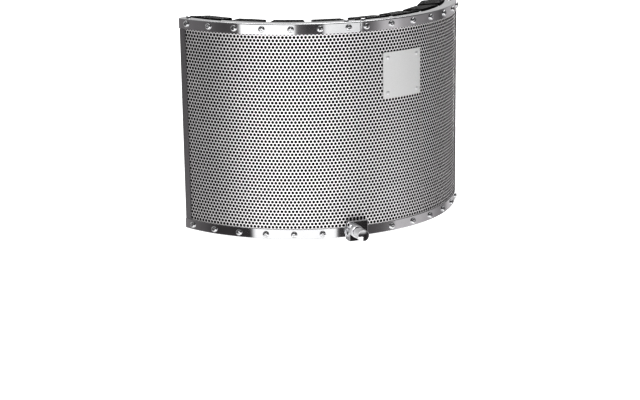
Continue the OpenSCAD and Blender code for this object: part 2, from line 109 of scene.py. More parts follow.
def linear(colour: str) -> tuple[float, float, float, float]:
    """Turns an sRGB hex colour to linear light.

    Args:
        colour: Six hex digits after a hash sign.

    Returns:
        Red, green, blue and an alpha of one.
    """
    parts = [int(colour[i : i + 2], 16) / 255 for i in (1, 3, 5)]
    light = [p / 12.92 if p <= 0.04045 else ((p + 0.055) / 1.055) ** 2.4 for p in parts]
    return (light[0], light[1], light[2], 1.0)


def add_node(tree: bpy.types.NodeTree, kind: str, inputs: Optional[dict[Any, Any]] = None,
             stops: Sequence[tuple[float, str]] = (), **settings: Any) -> bpy.types.Node:
    """Adds a node with its settings, its values and its links.

    Args:
        tree: The node tree that gets it.
        kind: Blender's name for the kind of node.
        inputs: Input name or number to a value, or to the output that feeds it.
        stops: Positions and hex colours of a colour ramp.
        settings: Properties of the node itself.

    Returns:
        The new node.
    """
    made = tree.nodes.new(kind)
    for name, value in settings.items():
        setattr(made, name, value)
    for socket, value in (inputs or {}).items():
        if isinstance(value, bpy.types.NodeSocket):
            tree.links.new(value, made.inputs[socket])
        else:
            made.inputs[socket].default_value = value
    for number, (position, colour) in enumerate(stops):
        elements = made.color_ramp.elements
        element = elements[number] if number < 2 else elements.new(position)
        element.position, element.color = position, linear(colour)
    return made


@dataclass(frozen=True)
class Finish:
    """One material: what it is, how its surface was made and what that gives the eye.

    Attributes:
        name: Common name of the material and its treatment.
        grain: The pattern that the treatment leaves.
        dark: Colour in the pattern's low places.
        light: Colour in the pattern's high places.
        metallic: One for bare or plated metal, nought for the rest.
        roughness: Least and most roughness over the pattern.
        grain_mm: Size of the pattern.
        depth_mm: Height of the pattern as bump.
        stretch: Scale of the pattern along X, Y and Z, below one where it runs long.
        sheen: Soft edge light of fibres.
    """

    name: str
    grain: Grain
    dark: str
    light: str
    metallic: float
    roughness: tuple[float, float]
    grain_mm: float
    depth_mm: float
    stretch: tuple[float, float, float] = (1.0, 1.0, 1.0)
    sheen: float = 0.0

    def material(self) -> bpy.types.Material:
        """Builds the material once and hands out the same one after that.

        Returns:
            The material, its pattern on Object coordinates.
        """
        found = bpy.data.materials.get(self.name)
        if found:
            return found
        made = bpy.data.materials.new(self.name)
        made.use_nodes = True
        tree = made.node_tree
        tree.nodes.clear()
        place = add_node(tree, "ShaderNodeTexCoord")
        turned = add_node(tree, "ShaderNodeMapping", {"Vector": place.outputs["Object"], "Scale": self.stretch})
        per_metre = 1000 / self.grain_mm
        if self.grain is Grain.CELLS:
            pattern = add_node(tree, "ShaderNodeTexVoronoi", {"Vector": turned.outputs[0], "Scale": per_metre})
            height = pattern.outputs["Distance"]
        else:
            detail = {Grain.POLISHED: 3.0, Grain.ROLLED: 4.0, Grain.SPRAYED: 2.0, Grain.MOULDED: 5.0,
                      Grain.FIBRES: 8.0}
            pattern = add_node(tree, "ShaderNodeTexNoise", {"Vector": turned.outputs[0], "Scale": per_metre,
                                                            "Detail": detail[self.grain], "Roughness": 0.55})
            height = pattern.outputs[0]
        shade = add_node(tree, "ShaderNodeValToRGB", {0: height}, [(0.25, self.dark), (0.75, self.light)])
        rough = add_node(tree, "ShaderNodeMapRange", {"Value": height, "From Min": 0.25, "From Max": 0.75,
                                                      "To Min": self.roughness[0], "To Max": self.roughness[1]})
        surface = {"Base Color": shade.outputs[0], "Metallic": self.metallic, "Roughness": rough.outputs[0]}
        if self.depth_mm:
            bump = add_node(tree, "ShaderNodeBump", {"Height": height, "Distance": self.depth_mm * MM, "Strength": 1.0})
            surface["Normal"] = bump.outputs[0]
        if self.sheen:
            surface["Sheen Weight"] = self.sheen
        skin = add_node(tree, "ShaderNodeBsdfPrincipled", surface)
        add_node(tree, "ShaderNodeOutputMaterial", {"Surface": skin.outputs[0]})
        return made


# Scale of a pattern that the rolls drew out fifty times in the sheet's plane
ALONG_THE_ARC = (0.02, 0.02, 1.0)
# Rolled aluminium, satin anodised: fine lines along the arc and a broad, soft highlight
SHEET = Finish("satin_aluminium_sheet", Grain.ROLLED, "#cfcdce", "#dddbdc", 0.65, (0.42, 0.5), 0.5, 0.004,
               ALONG_THE_ARC)
# Walls of the punched holes: dull metal coloured dark as painted shade, for walls that lie in shadow and mirror the
# black felt behind
HOLE_WALL_SHADE = Finish("punched_aluminium_edge", Grain.MOULDED, "#2a2829", "#3a3839", 0.5, (0.6, 0.75), 0.4, 0.0)
# Polished chrome plate: a mirror with faint wipe marks
CHROME = Finish("polished_chrome", Grain.POLISHED, "#e2e2e4", "#efeff0", 1.0, (0.04, 0.09), 25.0, 0.0)
# Chrome over a blasted surface: soft, pale and half matt
SATIN_CHROME = Finish("satin_chrome", Grain.SPRAYED, "#dededf", "#e8e8e9", 0.5, (0.28, 0.36), 0.6, 0.003)
# Satin enamel on steel: slight orange peel
POST_ENAMEL = Finish("grey_satin_enamel", Grain.SPRAYED, "#5a585a", "#646264", 0.0, (0.34, 0.44), 1.4, 0.02)
# Open-cell polyurethane foam, drawn three times as coarse as it is so that the cells show
FOAM = Finish("charcoal_foam", Grain.CELLS, "#080707", "#181516", 0.0, (0.95, 1.0), 1.8, 0.3)
# Needled felt: short matt fibres
FELT = Finish("black_felt", Grain.FIBRES, "#060606", "#121212", 0.0, (0.95, 1.0), 0.8, 0.1, sheen=0.05)
# Pressed mineral wool: matt fibres in the sheet's plane
WOOL = Finish("mineral_wool", Grain.FIBRES, "#6b6353", "#8d836c", 0.0, (0.95, 1.0), 1.2, 0.2, (0.3, 0.3, 1.0),
              sheen=0.1)
# Plain rolled aluminium, as it comes from the mill
BACKING = Finish("mill_aluminium", Grain.ROLLED, "#9b9b9c", "#b2b2b3", 1.0, (0.42, 0.55), 0.8, 0.004, ALONG_THE_ARC)
# Silver lacquer on a thin plate: pale, even and half matt
BADGE = Finish("silver_lacquer_plate", Grain.SPRAYED, "#c2c2c2", "#cacaca", 0.2, (0.42, 0.52), 1.2, 0.004)
# Plain aluminium rivets, domed by the setting tool
RIVET = Finish("aluminium_rivet", Grain.POLISHED, "#c4c4c6", "#d4d4d6", 0.5, (0.3, 0.42), 4.0, 0.0)
# Black powder coat: fine even grain
BLACK_METAL = Finish("black_powder_coat", Grain.SPRAYED, "#151516", "#1e1e20", 0.0, (0.42, 0.56), 0.9, 0.03)
# Zinc-plated steel: mottled grey
ZINC = Finish("zinc_plate", Grain.POLISHED, "#9a9b9f", "#b9bac0", 1.0, (0.22, 0.36), 6.0, 0.0)
# Moulded rubber: matt and even
RUBBER = Finish("black_rubber", Grain.MOULDED, "#0d0d0e", "#171718", 0.0, (0.7, 0.85), 0.8, 0.03)
# Moulded plastic with spark-eroded grain
KNOB_PLASTIC = Finish("black_grained_plastic", Grain.MOULDED, "#0e0e0f", "#19191a", 0.0, (0.45, 0.6), 0.7, 0.03)


def leave_edit() -> None:
    """Goes back to object mode."""
    bpy.ops.object.mode_set(mode="OBJECT")


def clear_bench() -> None:
    """Leaves edit mode and deselects everything."""
    if bpy.context.object and bpy.context.object.mode != "OBJECT":
        leave_edit()
    bpy.ops.object.select_all(action="DESELECT")


def select_only(obj: Piece) -> None:
    """Leaves edit mode and makes a piece the one selected and active object.

    Args:
        obj: The piece.
    """
    clear_bench()
    obj.select_set(True)
    bpy.context.view_layer.objects.active = obj


def settle(obj: Piece) -> None:
    """Puts a piece's place, turn and scale into its mesh."""
    select_only(obj)
    bpy.ops.object.transform_apply(location=True, rotation=True, scale=True)


def newly_added(name: str) -> Piece:
    """Names the primitive that was added last and settles it.

    Args:
        name: The piece's name.

    Returns:
        The piece, with its place in its mesh.
    """
    obj = bpy.context.object
    obj.name = obj.data.name = name
    settle(obj)
    return obj


def pick(obj: Piece, element: Element, test: Callable[[Vector], bool]) -> None:
    """Goes to edit mode and selects the elements whose centre passes a test.

    Args:
        obj: The piece on the bench.
        element: What is selected.
        test: Takes an element's centre.
    """
    select_only(obj)
    bpy.ops.object.mode_set(mode="EDIT")
    bpy.ops.mesh.select_mode(type=element.value)
    bpy.ops.mesh.select_all(action="DESELECT")
    mesh = bmesh.from_edit_mesh(obj.data)
    if element is Element.VERT:
        chosen = [v for v in mesh.verts if test(v.co)]
    elif element is Element.EDGE:
        chosen = [e for e in mesh.edges if test((e.verts[0].co + e.verts[1].co) / 2)]
    else:
        chosen = [f for f in mesh.faces if test(f.calc_center_median())]
    for item in chosen:
        item.select_set(True)
    mesh.select_flush_mode()
    bmesh.update_edit_mesh(obj.data)


def pick_all(obj: Piece) -> None:
    """Goes to edit mode and selects the whole mesh of a piece.

    Args:
        obj: The piece on the bench.
    """
    select_only(obj)
    bpy.ops.object.mode_set(mode="EDIT")
    bpy.ops.mesh.select_all(action="SELECT")


def extrude_picked(offset: Sequence[float]) -> None:
    """Extrudes what is picked in edit mode by an offset."""
    bpy.ops.mesh.extrude_region_move(TRANSFORM_OT_translate={"value": tuple(offset)})


def modify(obj: Piece, kind: str, **settings: Any) -> None:
    """Adds a modifier with its settings and applies it.

    Args:
        obj: The piece.
        kind: Blender's name for the kind of modifier.
        settings: Properties of the modifier.
    """
    select_only(obj)
    made = obj.modifiers.new(kind.lower(), kind)
    for name, value in settings.items():
        setattr(made, name, value)
    bpy.ops.object.modifier_apply(modifier=made.name)


def outward(obj: Piece) -> None:
    """Merges doubles and turns all faces of a closed shape outwards.

    Args:
        obj: The piece.
    """
    pick_all(obj)
    bpy.ops.mesh.remove_doubles(threshold=NEAR)
    bpy.ops.mesh.normals_make_consistent(inside=False)
    leave_edit()


def break_edges(obj: Piece, width_mm: float, segments: int, angle: float) -> None:
    """Bevels the edges of a piece that turn by more than an angle in degrees."""
    modify(obj, "BEVEL", width=width_mm * MM, segments=segments, limit_method="ANGLE", angle_limit=math.radians(angle))


def shade_below(obj: Piece, angle: float) -> None:
    """Shades a piece smooth where its faces meet at less than an angle in degrees."""
    select_only(obj)
    bpy.ops.object.shade_smooth_by_angle(angle=math.radians(angle))


def soften_edges(obj: Piece, width_mm: float, segments: int = 2, angle: float = 40.0) -> None:
    """Breaks the sharp edges of a piece and shades it smooth between them.

    Args:
        obj: The piece.
        width_mm: Width of the broken edge, or nought to leave the edges sharp.
        segments: Faces across it.
        angle: Edges that turn by more than this many degrees are broken.
    """
    if width_mm:
        break_edges(obj, width_mm, segments, angle)
    shade_below(obj, angle - 5)


def even_shading(obj: Piece, angle: float) -> None:
    """Shades a piece smooth below an angle and keeps its large faces flat in reflections."""
    shade_below(obj, angle)
    modify(obj, "WEIGHTED_NORMAL", mode="FACE_AREA", weight=100, keep_sharp=True)


def box_piece(name: str, low: Sequence[float], high: Sequence[float]) -> Piece:
    """Adds a block between two corners, in millimetres.

    Args:
        name: The piece's name.
        low: Its lowest corner.
        high: Its highest corner.

    Returns:
        The block, with its place in its mesh.
    """
    clear_bench()
    middle = [(a + b) / 2 * MM for a, b in zip(low, high)]
    size = [(b - a) * MM for a, b in zip(low, high)]
    bpy.ops.mesh.primitive_cube_add(size=1, location=middle)
    bpy.context.object.scale = size
    return newly_added(name)


def turned_piece(name: str, outline: Sequence[tuple[float, float]], segments: int = 48) -> Piece:
    """Makes a turned piece along +Z by extruding and scaling a disc, in millimetres.

    Args:
        name: The piece's name.
        outline: Radius and height of each step, from the lower end to the upper.
        segments: Faces round the axis.

    Returns:
        The closed piece.
    """
    clear_bench()
    radius, height = outline[0]
    bpy.ops.mesh.primitive_circle_add(vertices=segments, radius=radius * MM, fill_type="NGON",
                                      location=(0, 0, height * MM))
    obj = newly_added(name)
    pick_all(obj)
    for next_radius, next_height in outline[1:]:
        extrude_picked((0, 0, (next_height - height) * MM))
        scale = next_radius / radius
        if abs(scale - 1) > NEAR:
            bpy.ops.transform.resize(value=(scale, scale, 1), center_override=(0, 0, next_height * MM))
        radius, height = next_radius, next_height
    outward(obj)
    return obj


def cut_away(obj: Piece, tool: Piece) -> None:
    """Cuts the shape of tool out of obj and removes the tool."""
    modify(obj, "BOOLEAN", operation="DIFFERENCE", object=tool, solver="EXACT")
    bpy.data.objects.remove(tool)


def copies(pattern: Piece, places: Sequence[Matrix], name: str) -> Piece:
    """Sets copies of one piece at several places and joins them.

    Args:
        pattern: The piece that is repeated; it is used up.
        places: Where each copy goes.
        name: The joined piece's name.

    Returns:
        One object with all the copies.
    """
    made = []
    for place in places:
        one = pattern.copy()
        one.data = pattern.data.copy()
        bpy.context.scene.collection.objects.link(one)
        one.matrix_world = place
        made.append(one)
    bpy.data.objects.remove(pattern)
    for one in made:
        settle(one)
    clear_bench()
    for one in made:
        one.select_set(True)
    bpy.context.view_layer.objects.active = made[0]
    bpy.ops.object.join()
    return newly_added(name)


def dress(obj: Piece, finish: Optional[Finish], body: str,
          stands_for: Sequence[str] = ()) -> Piece:
    """Gives a piece its material, its body and the CAD nodes that it stands for.

    Args:
        obj: The finished piece.
        finish: Its material, or None where it has its materials already.
        body: The CAD body that it rides on.
        stands_for: CAD nodes that are no longer shown.

    Returns:
        The same piece.
    """
    if finish:
        obj.data.materials.clear()
        obj.data.materials.append(finish.material())
    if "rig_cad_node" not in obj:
        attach(obj, body)
    if stands_for:
        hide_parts(*stands_for)
    LOG.info("%s: %d faces, %s", obj.name, len(obj.data.polygons), obj.data.materials[0].name)
    return obj


def finished_copy(node: str, edge_mm: float, finish: Finish, body: str) -> Piece:
    """Copies a rigid CAD node, merges it, breaks its edges and lets the copy stand for it.

    Args:
        node: The CAD node's name.
        edge_mm: Width of the broken edges.
        finish: The copy's material.
        body: The CAD body that it rides on.

    Returns:
        The finished copy.
    """
    source = frame["nodes"][node]
    made = bpy.data.objects.new(node + "_finished", source.data.copy())
    bpy.context.scene.collection.objects.link(made)
    select_only(made)
    if made.data.has_custom_normals:
        bpy.ops.mesh.customdata_custom_splitnormals_clear()
    pick_all(made)
    bpy.ops.mesh.remove_doubles(threshold=2 * NEAR)
    bpy.ops.mesh.dissolve_limited(angle_limit=math.radians(0.5))
    leave_edit()
    soften_edges(made, edge_mm)
    return dress(made, finish, body, [node])


@dataclass(frozen=True)
class ScreenPlan:
    """Sizes that all pieces of the curved screen share, in millimetres and degrees.

    Attributes:
        radius: Radius of the sheet's outer face.
        half_angle: Half of the angle that the screen spans.
        axis: Where the screen's axis stands, X and Y.
        low: Height of the lower rim's underside.
        high: Height of the upper rim's top.
        inner: Distance from the outer face to the inner edge of the rims' flanges.
        gap: Slack between neighbouring layers.
        web: Thickness of the end posts' webs.
    """

    radius: float = 221.0
    half_angle: float = 65.6
    axis: tuple[float, float] = (9.3, 85.0)
    low: float = 12.0
    high: float = 302.0
    inner: float = 14.75
    gap: float = 0.25
    web: float = 1.2

    @property
    def half_arc(self) -> float:
        """Half of the screen's length along its outer face."""
        return math.radians(self.half_angle) * self.radius

    @property
    def layer_half(self) -> float:
        """Half of the layers' length, which stops short of the end posts' webs."""
        return self.half_arc - self.web - self.gap

    def bend(self, obj: Piece) -> None:
        """Bends a flat piece to the screen's arc.

        Args:
            obj: The piece, made along X with -Y outwards.
        """
        along = [v.co.x for v in obj.data.vertices]
        turn = (max(along) - min(along)) / (self.radius * MM)
        modify(obj, "SIMPLE_DEFORM", deform_method="BEND", deform_axis="Z", angle=turn)
        obj.location = (self.axis[0] * MM, (self.axis[1] - self.radius) * MM, 0)
        settle(obj)

    def seat(self, arc: float, height: float, out: float, spin: float = 0.0) -> Matrix:
        """Finds the place of a piece that stands on the screen.

        Args:
            arc: Length along the outer face from the middle.
            height: Height above the frame's origin.
            out: Distance outside the outer face.
            spin: Turn about its own axis, in degrees.

        Returns:
            A matrix whose +Z points outwards and whose +Y points up.
        """
        angle = arc / self.radius
        outwards = Vector((math.sin(angle), -math.cos(angle), 0))
        along = Vector((math.cos(angle), math.sin(angle), 0))
        up = Vector((0, 0, 1))
        reach = self.radius + out
        place = Vector((self.axis[0] + reach * outwards.x, self.axis[1] + reach * outwards.y, height)) * MM
        turn = Matrix((along, up, outwards)).transposed().to_4x4()
        return Matrix.Translation(place) @ turn @ Matrix.Rotation(math.radians(spin), 4, "Z")

    def flange_seat(self, arc: float, level: Level, in_from_face: float, spin: float = 0.0) -> Matrix:
        """Finds the place of a screw on a rim's flange.

        Args:
            arc: Length along the outer face from the middle.
            level: Upper or lower rim.
            in_from_face: Distance inside the outer face.
            spin: Turn about its own axis, in degrees.

        Returns:
            A matrix whose +Z points away from the screen.
        """
        angle = arc / self.radius
        reach = self.radius - in_from_face
        place = Vector((self.axis[0] + reach * math.sin(angle), self.axis[1] - reach * math.cos(angle),
                        self.high if level is Level.TOP else self.low)) * MM
        flip = 0 if level is Level.TOP else math.pi
        return Matrix.Translation(place) @ Euler((flip, 0, angle + math.radians(spin))).to_matrix().to_4x4()


def flat_strip(name: str, x: tuple[float, float], z: tuple[float, float], y: float, cuts: int) -> Piece:
    """Adds an upright flat strip that faces outwards, cut across its length so that it can bend.

    Args:
        name: The piece's name.
        x: Its ends along the arc, in millimetres.
        z: Its lower and upper edge.
        y: Its distance inside the outer face.
        cuts: Cuts across its length.

    Returns:
        The open strip.
    """
    clear_bench()
    bpy.ops.mesh.primitive_plane_add(size=1, rotation=(math.pi / 2, 0, 0),
                                     location=((x[0] + x[1]) / 2 * MM, y * MM, (z[0] + z[1]) / 2 * MM))
    bpy.context.object.scale = ((x[1] - x[0]) * MM, (z[1] - z[0]) * MM, 1)
    obj = newly_added(name)
    middle = (x[0] + x[1]) / 2 * MM
    pick(obj, Element.EDGE, lambda c: abs(c.x - middle) < NEAR)
    bpy.ops.mesh.subdivide(number_cuts=cuts)
    leave_edit()
    return obj


@dataclass
class SoundScreen:
    """The sandwich: perforated sheet, felt, absorber core and backing sheet.

    Attributes:
        plan: The screen's shared sizes.
        pitch: Distance between hole centres, which stand in staggered rows.
        hole: Diameter of a hole.
        phase: Arc length and height of one hole's centre.
        sheet: Thickness of the perforated sheet.
        sheet_inset: Distance of the sheet's edges from the rims' outsides.
        layer_inset: The same for the other layers.
        felt: Distance of the felt's front from the outer face, and its thickness.
        wool: The same for the absorber core.
        backing: The same for the backing sheet.
    """

    plan: ScreenPlan
    pitch: float = 5.0
    hole: float = 3.7
    phase: tuple[float, float] = (0.92, 163.0)
    sheet: float = 1.0
    sheet_inset: float = 1.45
    layer_inset: float = 2.65
    felt: tuple[float, float] = (1.25, 2.0)
    wool: tuple[float, float] = (3.5, 10.0)
    backing: tuple[float, float] = (13.75, 1.0)

    def perforated_flat(self) -> Piece:
        """Makes the flat perforated sheet from one six-sided cell with a round hole.

        Returns:
            An open sheet that faces outwards, trimmed to its size.
        """
        row = self.pitch * math.sqrt(3) / 2
        columns = math.ceil(self.plan.half_arc / self.pitch) + 1
        rows = math.ceil((self.plan.high - self.plan.low) / 2 / row / 2) + 2
        start = Vector(((self.phase[0] - columns * self.pitch) * MM, 0, (self.phase[1] - 2 * rows * row) * MM))
        upright = (math.pi / 2, 0, 0)
        # A twelve-sided hole with about the area of a round one
        hole_radius = self.hole / 2 * math.sqrt(math.pi / 3)
        clear_bench()
        bpy.ops.mesh.primitive_circle_add(vertices=6, radius=self.pitch / math.sqrt(3) * MM, fill_type="NOTHING",
                                          rotation=upright, location=start)
        cell = newly_added("perforated_sheet")
        bpy.ops.object.mode_set(mode="EDIT")
        bpy.ops.mesh.primitive_circle_add(vertices=12, radius=hole_radius * MM, fill_type="NOTHING",
                                          rotation=upright, location=start)
        bpy.ops.mesh.select_all(action="SELECT")
        bpy.ops.mesh.bridge_edge_loops()
        leave_edit()
        if cell.data.polygons[0].normal.y > 0:
            pick_all(cell)
            bpy.ops.mesh.flip_normals()
        self.repeat(cell, 2 * columns + 1, (self.pitch * MM, 0, 0))
        pick_all(cell)
        bpy.ops.mesh.duplicate_move(TRANSFORM_OT_translate={"value": (self.pitch / 2 * MM, 0, row * MM)})
        self.repeat(cell, 2 * rows, (0, 0, 2 * row * MM))
        pick_all(cell)
        bpy.ops.mesh.remove_doubles(threshold=0.05 * MM)
        low, high = self.plan.low + self.sheet_inset, self.plan.high - self.sheet_inset
        for place, away in (((self.plan.layer_half, 0, 0), (1, 0, 0)), ((-self.plan.layer_half, 0, 0), (-1, 0, 0)),
                            ((0, 0, high), (0, 0, 1)), ((0, 0, low), (0, 0, -1))):
            self.trim(place, away)
        leave_edit()
        return cell

    @staticmethod
    def repeat(obj: Piece, count: int, step: Sequence[float]) -> None:
        """Repeats a mesh in a row, step by step."""
        modify(obj, "ARRAY", count=count, use_relative_offset=False, use_constant_offset=True,
               constant_offset_displace=step)

    @staticmethod
    def trim(place: Sequence[float], away: Sequence[float]) -> None:
        """Cuts the mesh in edit mode at a plane, in millimetres, and drops what lies beyond it."""
        bpy.ops.mesh.select_all(action="SELECT")
        bpy.ops.mesh.bisect(plane_co=[p * MM for p in place], plane_no=away, clear_outer=True)

    def perforated_half(self, flat: Piece, side: Side) -> Piece:
        """Cuts one half out of the flat sheet, gives it its thickness and bends it.

        Args:
            flat: The whole flat sheet.
            side: Which half.

        Returns:
            The finished half.
        """
        half = bpy.data.objects.new(f"perforated_sheet_{side.name.lower()}", flat.data.copy())
        bpy.context.scene.collection.objects.link(half)
        select_only(half)
        bpy.ops.object.mode_set(mode="EDIT")
        self.trim((0, 0, 0), (-side.value, 0, 0))
        leave_edit()
        # The second material goes on the hole walls and is a painted shade
        for finish in (SHEET, HOLE_WALL_SHADE):
            half.data.materials.append(finish.material())
        modify(half, "SOLIDIFY", thickness=self.sheet * MM, offset=-1, material_offset_rim=1)
        self.plan.bend(half)
        soften_edges(half, 0)
        return dress(half, None, "shield", ["outer_sheet"])

    def layer(self, name: str, depth: float, thickness: float) -> Piece:
        """Makes a plain curved layer.

        Args:
            name: The piece's name.
            depth: Distance of its front from the outer face.
            thickness: Its thickness.

        Returns:
            The closed layer.
        """
        ends = (-self.plan.layer_half, self.plan.layer_half)
        edges = (self.plan.low + self.layer_inset, self.plan.high - self.layer_inset)
        made = flat_strip(name, ends, edges, depth, 127)
        modify(made, "SOLIDIFY", thickness=thickness * MM, offset=-1)
        self.plan.bend(made)
        soften_edges(made, 0.15, 1, 60)
        return made

    def build(self) -> None:
        """Builds the four layers."""
        flat = self.perforated_flat()
        for side in Side:
            self.perforated_half(flat, side)
        bpy.data.objects.remove(flat)
        felt = dress(self.layer("felt_sheet", *self.felt), FELT, "shield", ["felt_layer"])
        wool = dress(self.layer("wool_core", *self.wool), WOOL, "shield", ["absorber_core"])
        dress(self.layer("backing_panel", *self.backing), BACKING, "shield", ["backing_sheet"])


@dataclass
class FoamRidges:
    """The eight foam ridges on the concave side.

    Attributes:
        plan: The screen's shared sizes.
        count: Number of ridges.
        base_radius: Radius of the glued faces.
        tip_radius: Radius of the ridges' fronts.
        base_half: Half of a ridge's width at its base.
        tip_half: Half of a ridge's width at its front.
        low: Height of the lower ends.
        high: Height of the upper ends.
        proud: Rise of each ridge's upper end towards the rim.
        rise_zone: Height at the upper end over which it rises.
        swell: How far a ridge's front swells in its middle.
        edge: Width of the soft edges.
        unevenness: Spacing and height of the cut surface's waves.
    """

    plan: ScreenPlan
    count: int = 8
    base_radius: float = 206.0
    tip_radius: float = 172.0
    base_half: float = 26.6
    tip_half: float = 19.7
    low: float = 37.2
    high: float = 299.9
    proud: tuple[float, ...] = (3.2, 0.0, 0.0, 0.0, 3.0, 3.2, 3.8, 4.3)
    rise_zone: float = 12.0
    swell: float = 0.7
    edge: float = 1.1
    unevenness: tuple[float, float] = (9.0, 0.4)

    def ridge(self, number: int) -> Piece:
        """Makes one ridge: a tapered block with soft edges, a slight crown and a rough cut surface.

        Args:
            number: The ridge's number from the left, from one.

        Returns:
            The closed ridge.
        """
        made = box_piece(f"foam_block_{number}", (-self.base_half, -self.base_radius, self.low),
                         (self.base_half, -self.tip_radius, self.high))
        pick(made, Element.FACE, lambda c: c.y > (-self.tip_radius - 1) * MM)
        middle = (0, -self.tip_radius * MM, (self.low + self.high) / 2 * MM)
        bpy.ops.transform.resize(value=(self.tip_half / self.base_half, 1, 1), center_override=middle)
        leave_edit()
        break_edges(made, self.edge, 3, 40)
        for axis, cuts in (("z", 44), ("x", 9), ("y", 6)):
            self.cut_across(made, axis, cuts)
        self.crown(made, self.proud[number - 1])
        surface = bpy.data.textures.new(f"foam_surface_{number}", "CLOUDS")
        surface.noise_scale = self.unevenness[0] * MM
        step = 2 * math.radians(self.plan.half_angle) / self.count
        made.rotation_euler = (0, 0, -math.radians(self.plan.half_angle) + (number - 0.5) * step)
        made.location = (self.plan.axis[0] * MM, self.plan.axis[1] * MM, 0)
        settle(made)
        modify(made, "DISPLACE", texture=surface, strength=self.unevenness[1] * MM, mid_level=0.6,
               texture_coords="LOCAL")
        select_only(made)
        bpy.ops.object.shade_smooth()
        return made

    @staticmethod
    def cut_across(obj: Piece, axis: str, cuts: int) -> None:
        """Cuts a block into even slices.

        Args:
            obj: The block.
            axis: The axis that the cuts lie across.
            cuts: How many cuts.
        """
        number = "xyz".index(axis)
        values = [v.co[number] for v in obj.data.vertices]
        low, high = min(values), max(values)
        normal = [1.0 if i == number else 0.0 for i in range(3)]
        pick_all(obj)
        for i in range(1, cuts + 1):
            place = [0.0, 0.0, 0.0]
            place[number] = low + (high - low) * i / (cuts + 1)
            bpy.ops.mesh.select_all(action="SELECT")
            bpy.ops.mesh.bisect(plane_co=place, plane_no=normal)
        leave_edit()

    def crown(self, obj: Piece, proud: float) -> None:
        """Swells the front, lifts the upper end at the rim and lays the base on the screen's curve.

        Args:
            obj: The sliced block, still at the middle of the screen.
            proud: How far its upper end rises.
        """
        half_height = (self.high - self.low) / 2
        middle = (self.high + self.low) / 2
        for vertex in obj.data.vertices:
            x, y, z = (value / MM for value in vertex.co)
            depth = (y + self.base_radius) / (self.base_radius - self.tip_radius)
            width = self.base_half + (self.tip_half - self.base_half) * depth
            across = max(0.0, 1 - (x / width) ** 2)
            along = max(0.0, 1 - ((z - middle) / half_height) ** 4)
            y += self.swell * across * along * depth
            if proud and depth < 0.04 and z > self.high - 1.3:
                z = self.high
            rise = max(0.0, (z - self.high + self.rise_zone) / self.rise_zone) ** 2 * max(0.0, 1 - depth)
            vertex.co.z = (z + proud * rise) * MM
            if depth < 0.06:
                y = -math.sqrt((self.base_radius - 0.2) ** 2 - x**2) + (y + self.base_radius)
            vertex.co.y = y * MM

    def build(self) -> None:
        """Builds all the ridges."""
        for number in range(1, self.count + 1):
            ridge = dress(self.ridge(number), FOAM, "shield", [f"foam_ridge_{number}"])


